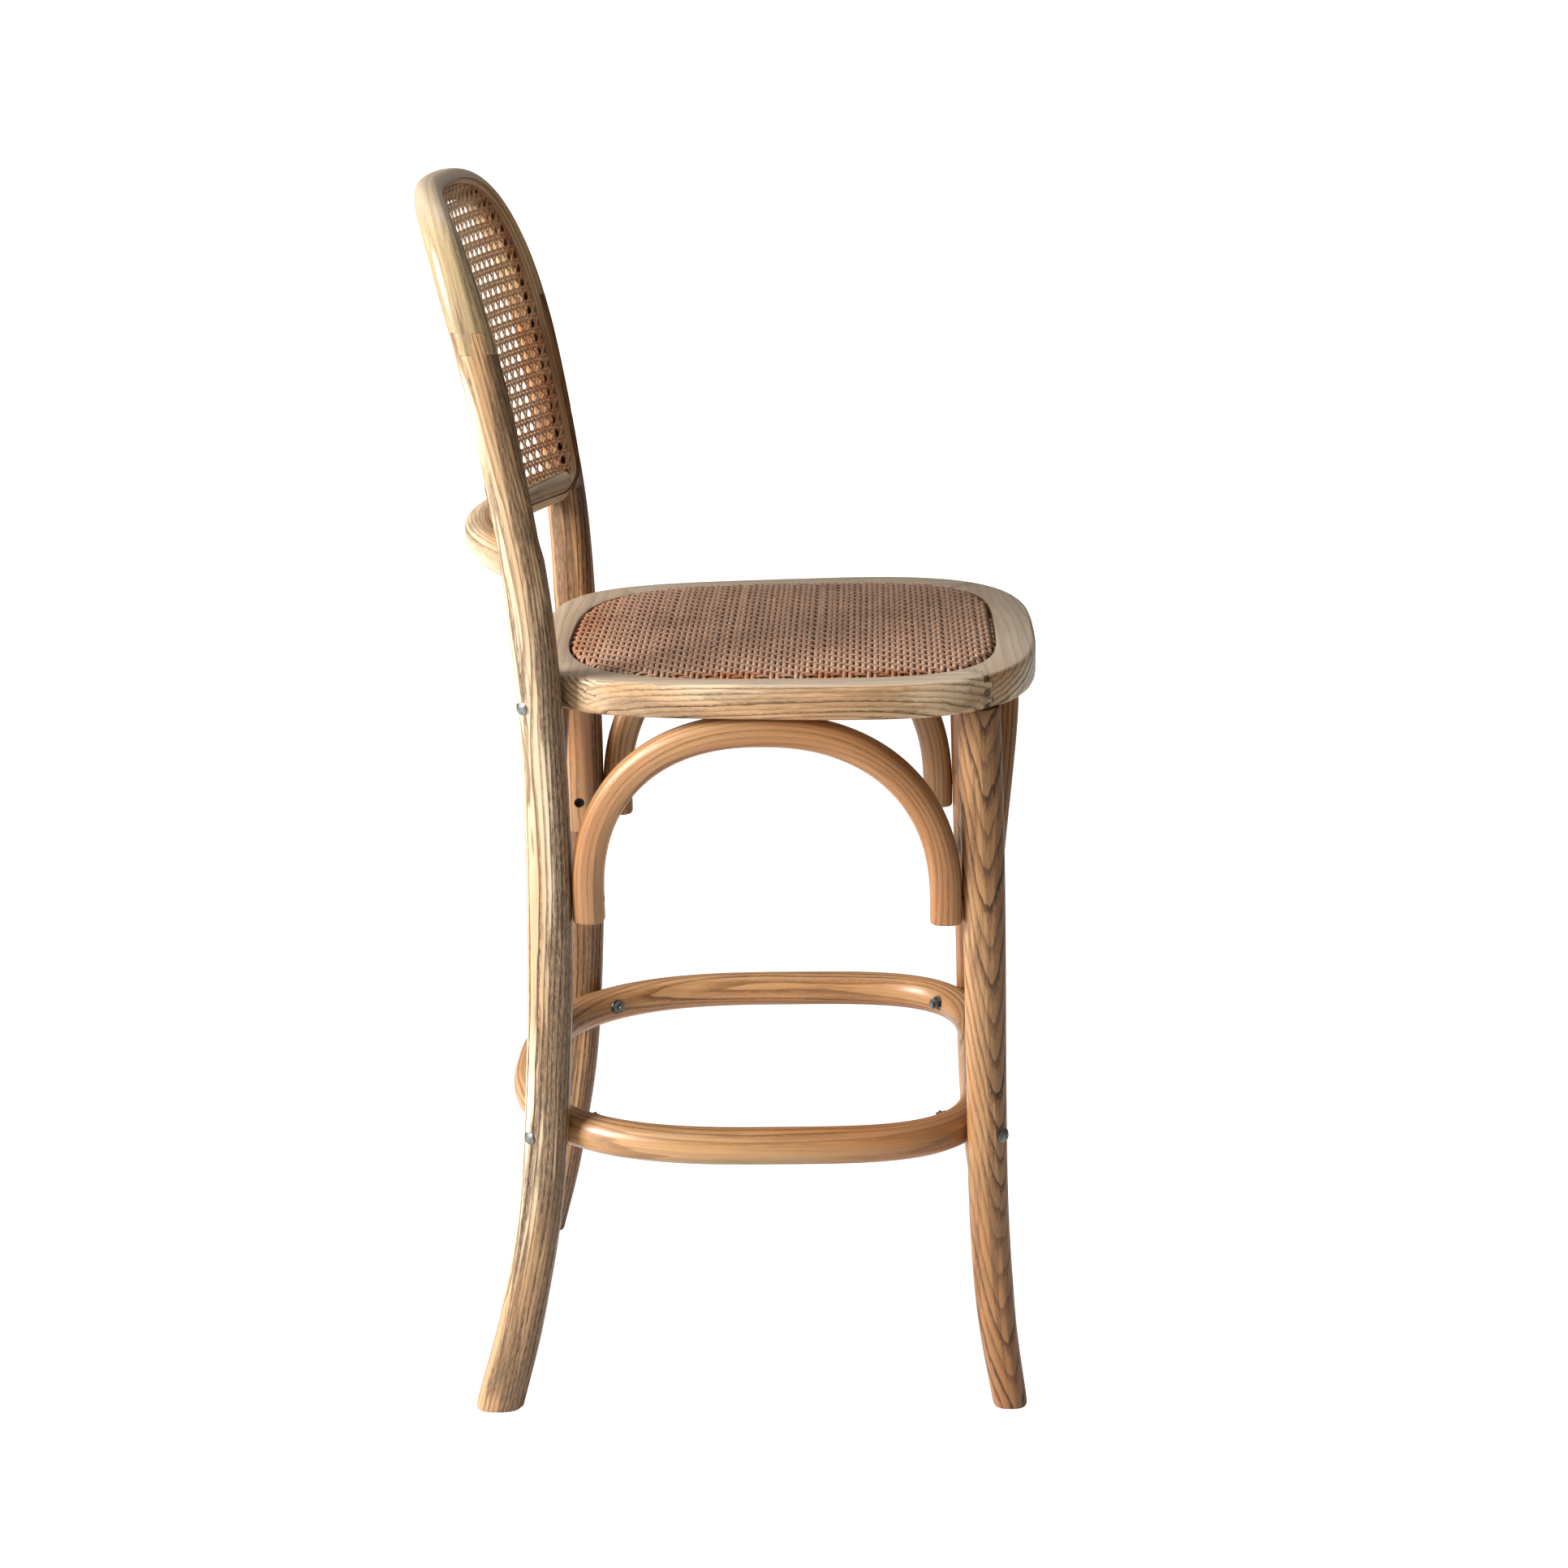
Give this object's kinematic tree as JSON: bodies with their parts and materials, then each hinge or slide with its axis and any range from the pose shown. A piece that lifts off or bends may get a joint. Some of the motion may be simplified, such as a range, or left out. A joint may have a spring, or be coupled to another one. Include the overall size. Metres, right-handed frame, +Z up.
{
  "type": "bar stool with footrest",
  "caption": "Counter-height bentwood bar stool with a cane back, a crowned woven rattan seat, bent arches under the seat and a hoop footrest.",
  "frame": {"origin": "on the floor, on the plane of symmetry, under the middle of the stool", "axes": "+Z up, -Y the front that the sitter faces, -X the side to the sitter's right"},
  "size_m": [0.4278, 0.5243, 1.0613],
  "materials": {
    "oak": "limed open-grain oak, satin, with dark-filled pores",
    "pale_oak": "paler satin oak",
    "plywood": "raw plywood",
    "cane": "stained woven cane webbing, satin",
    "rattan": "stained woven rattan core, satin",
    "foam": "seat foam",
    "bright_steel": "zinc-plated steel",
    "dark_steel": "blackened steel screws"
  },
  "bodies": {
    "root": {"rear_leg_right": "oak", "rear_leg_left": "oak", "top_bow": "pale_oak", "back_rail": "oak", "cane_frame": "oak", "back_cane_panel": "cane", "front_leg_right": "oak", "front_leg_left": "oak", "seat_front_rail": "oak", "seat_right_rail": "oak", "seat_rear_rail": "oak", "seat_left_rail": "oak", "seat_board": "plywood", "seat_foam": "foam", "seat_rattan": "rattan", "footrest_ring": "oak", "side_arch_right": "oak", "side_arch_left": "oak", "front_arch": "oak", "rear_arch": "oak", "ring_bolts": "bright_steel", "ring_washers": "bright_steel", "ring_nuts": "bright_steel", "seat_bolts": "bright_steel", "seat_bolt_washers": "bright_steel", "seat_bolt_nuts": "bright_steel", "arch_end_screws": "dark_steel", "arch_top_screws": "dark_steel", "rail_dowels": "oak"}
  },
  "joints": []
}
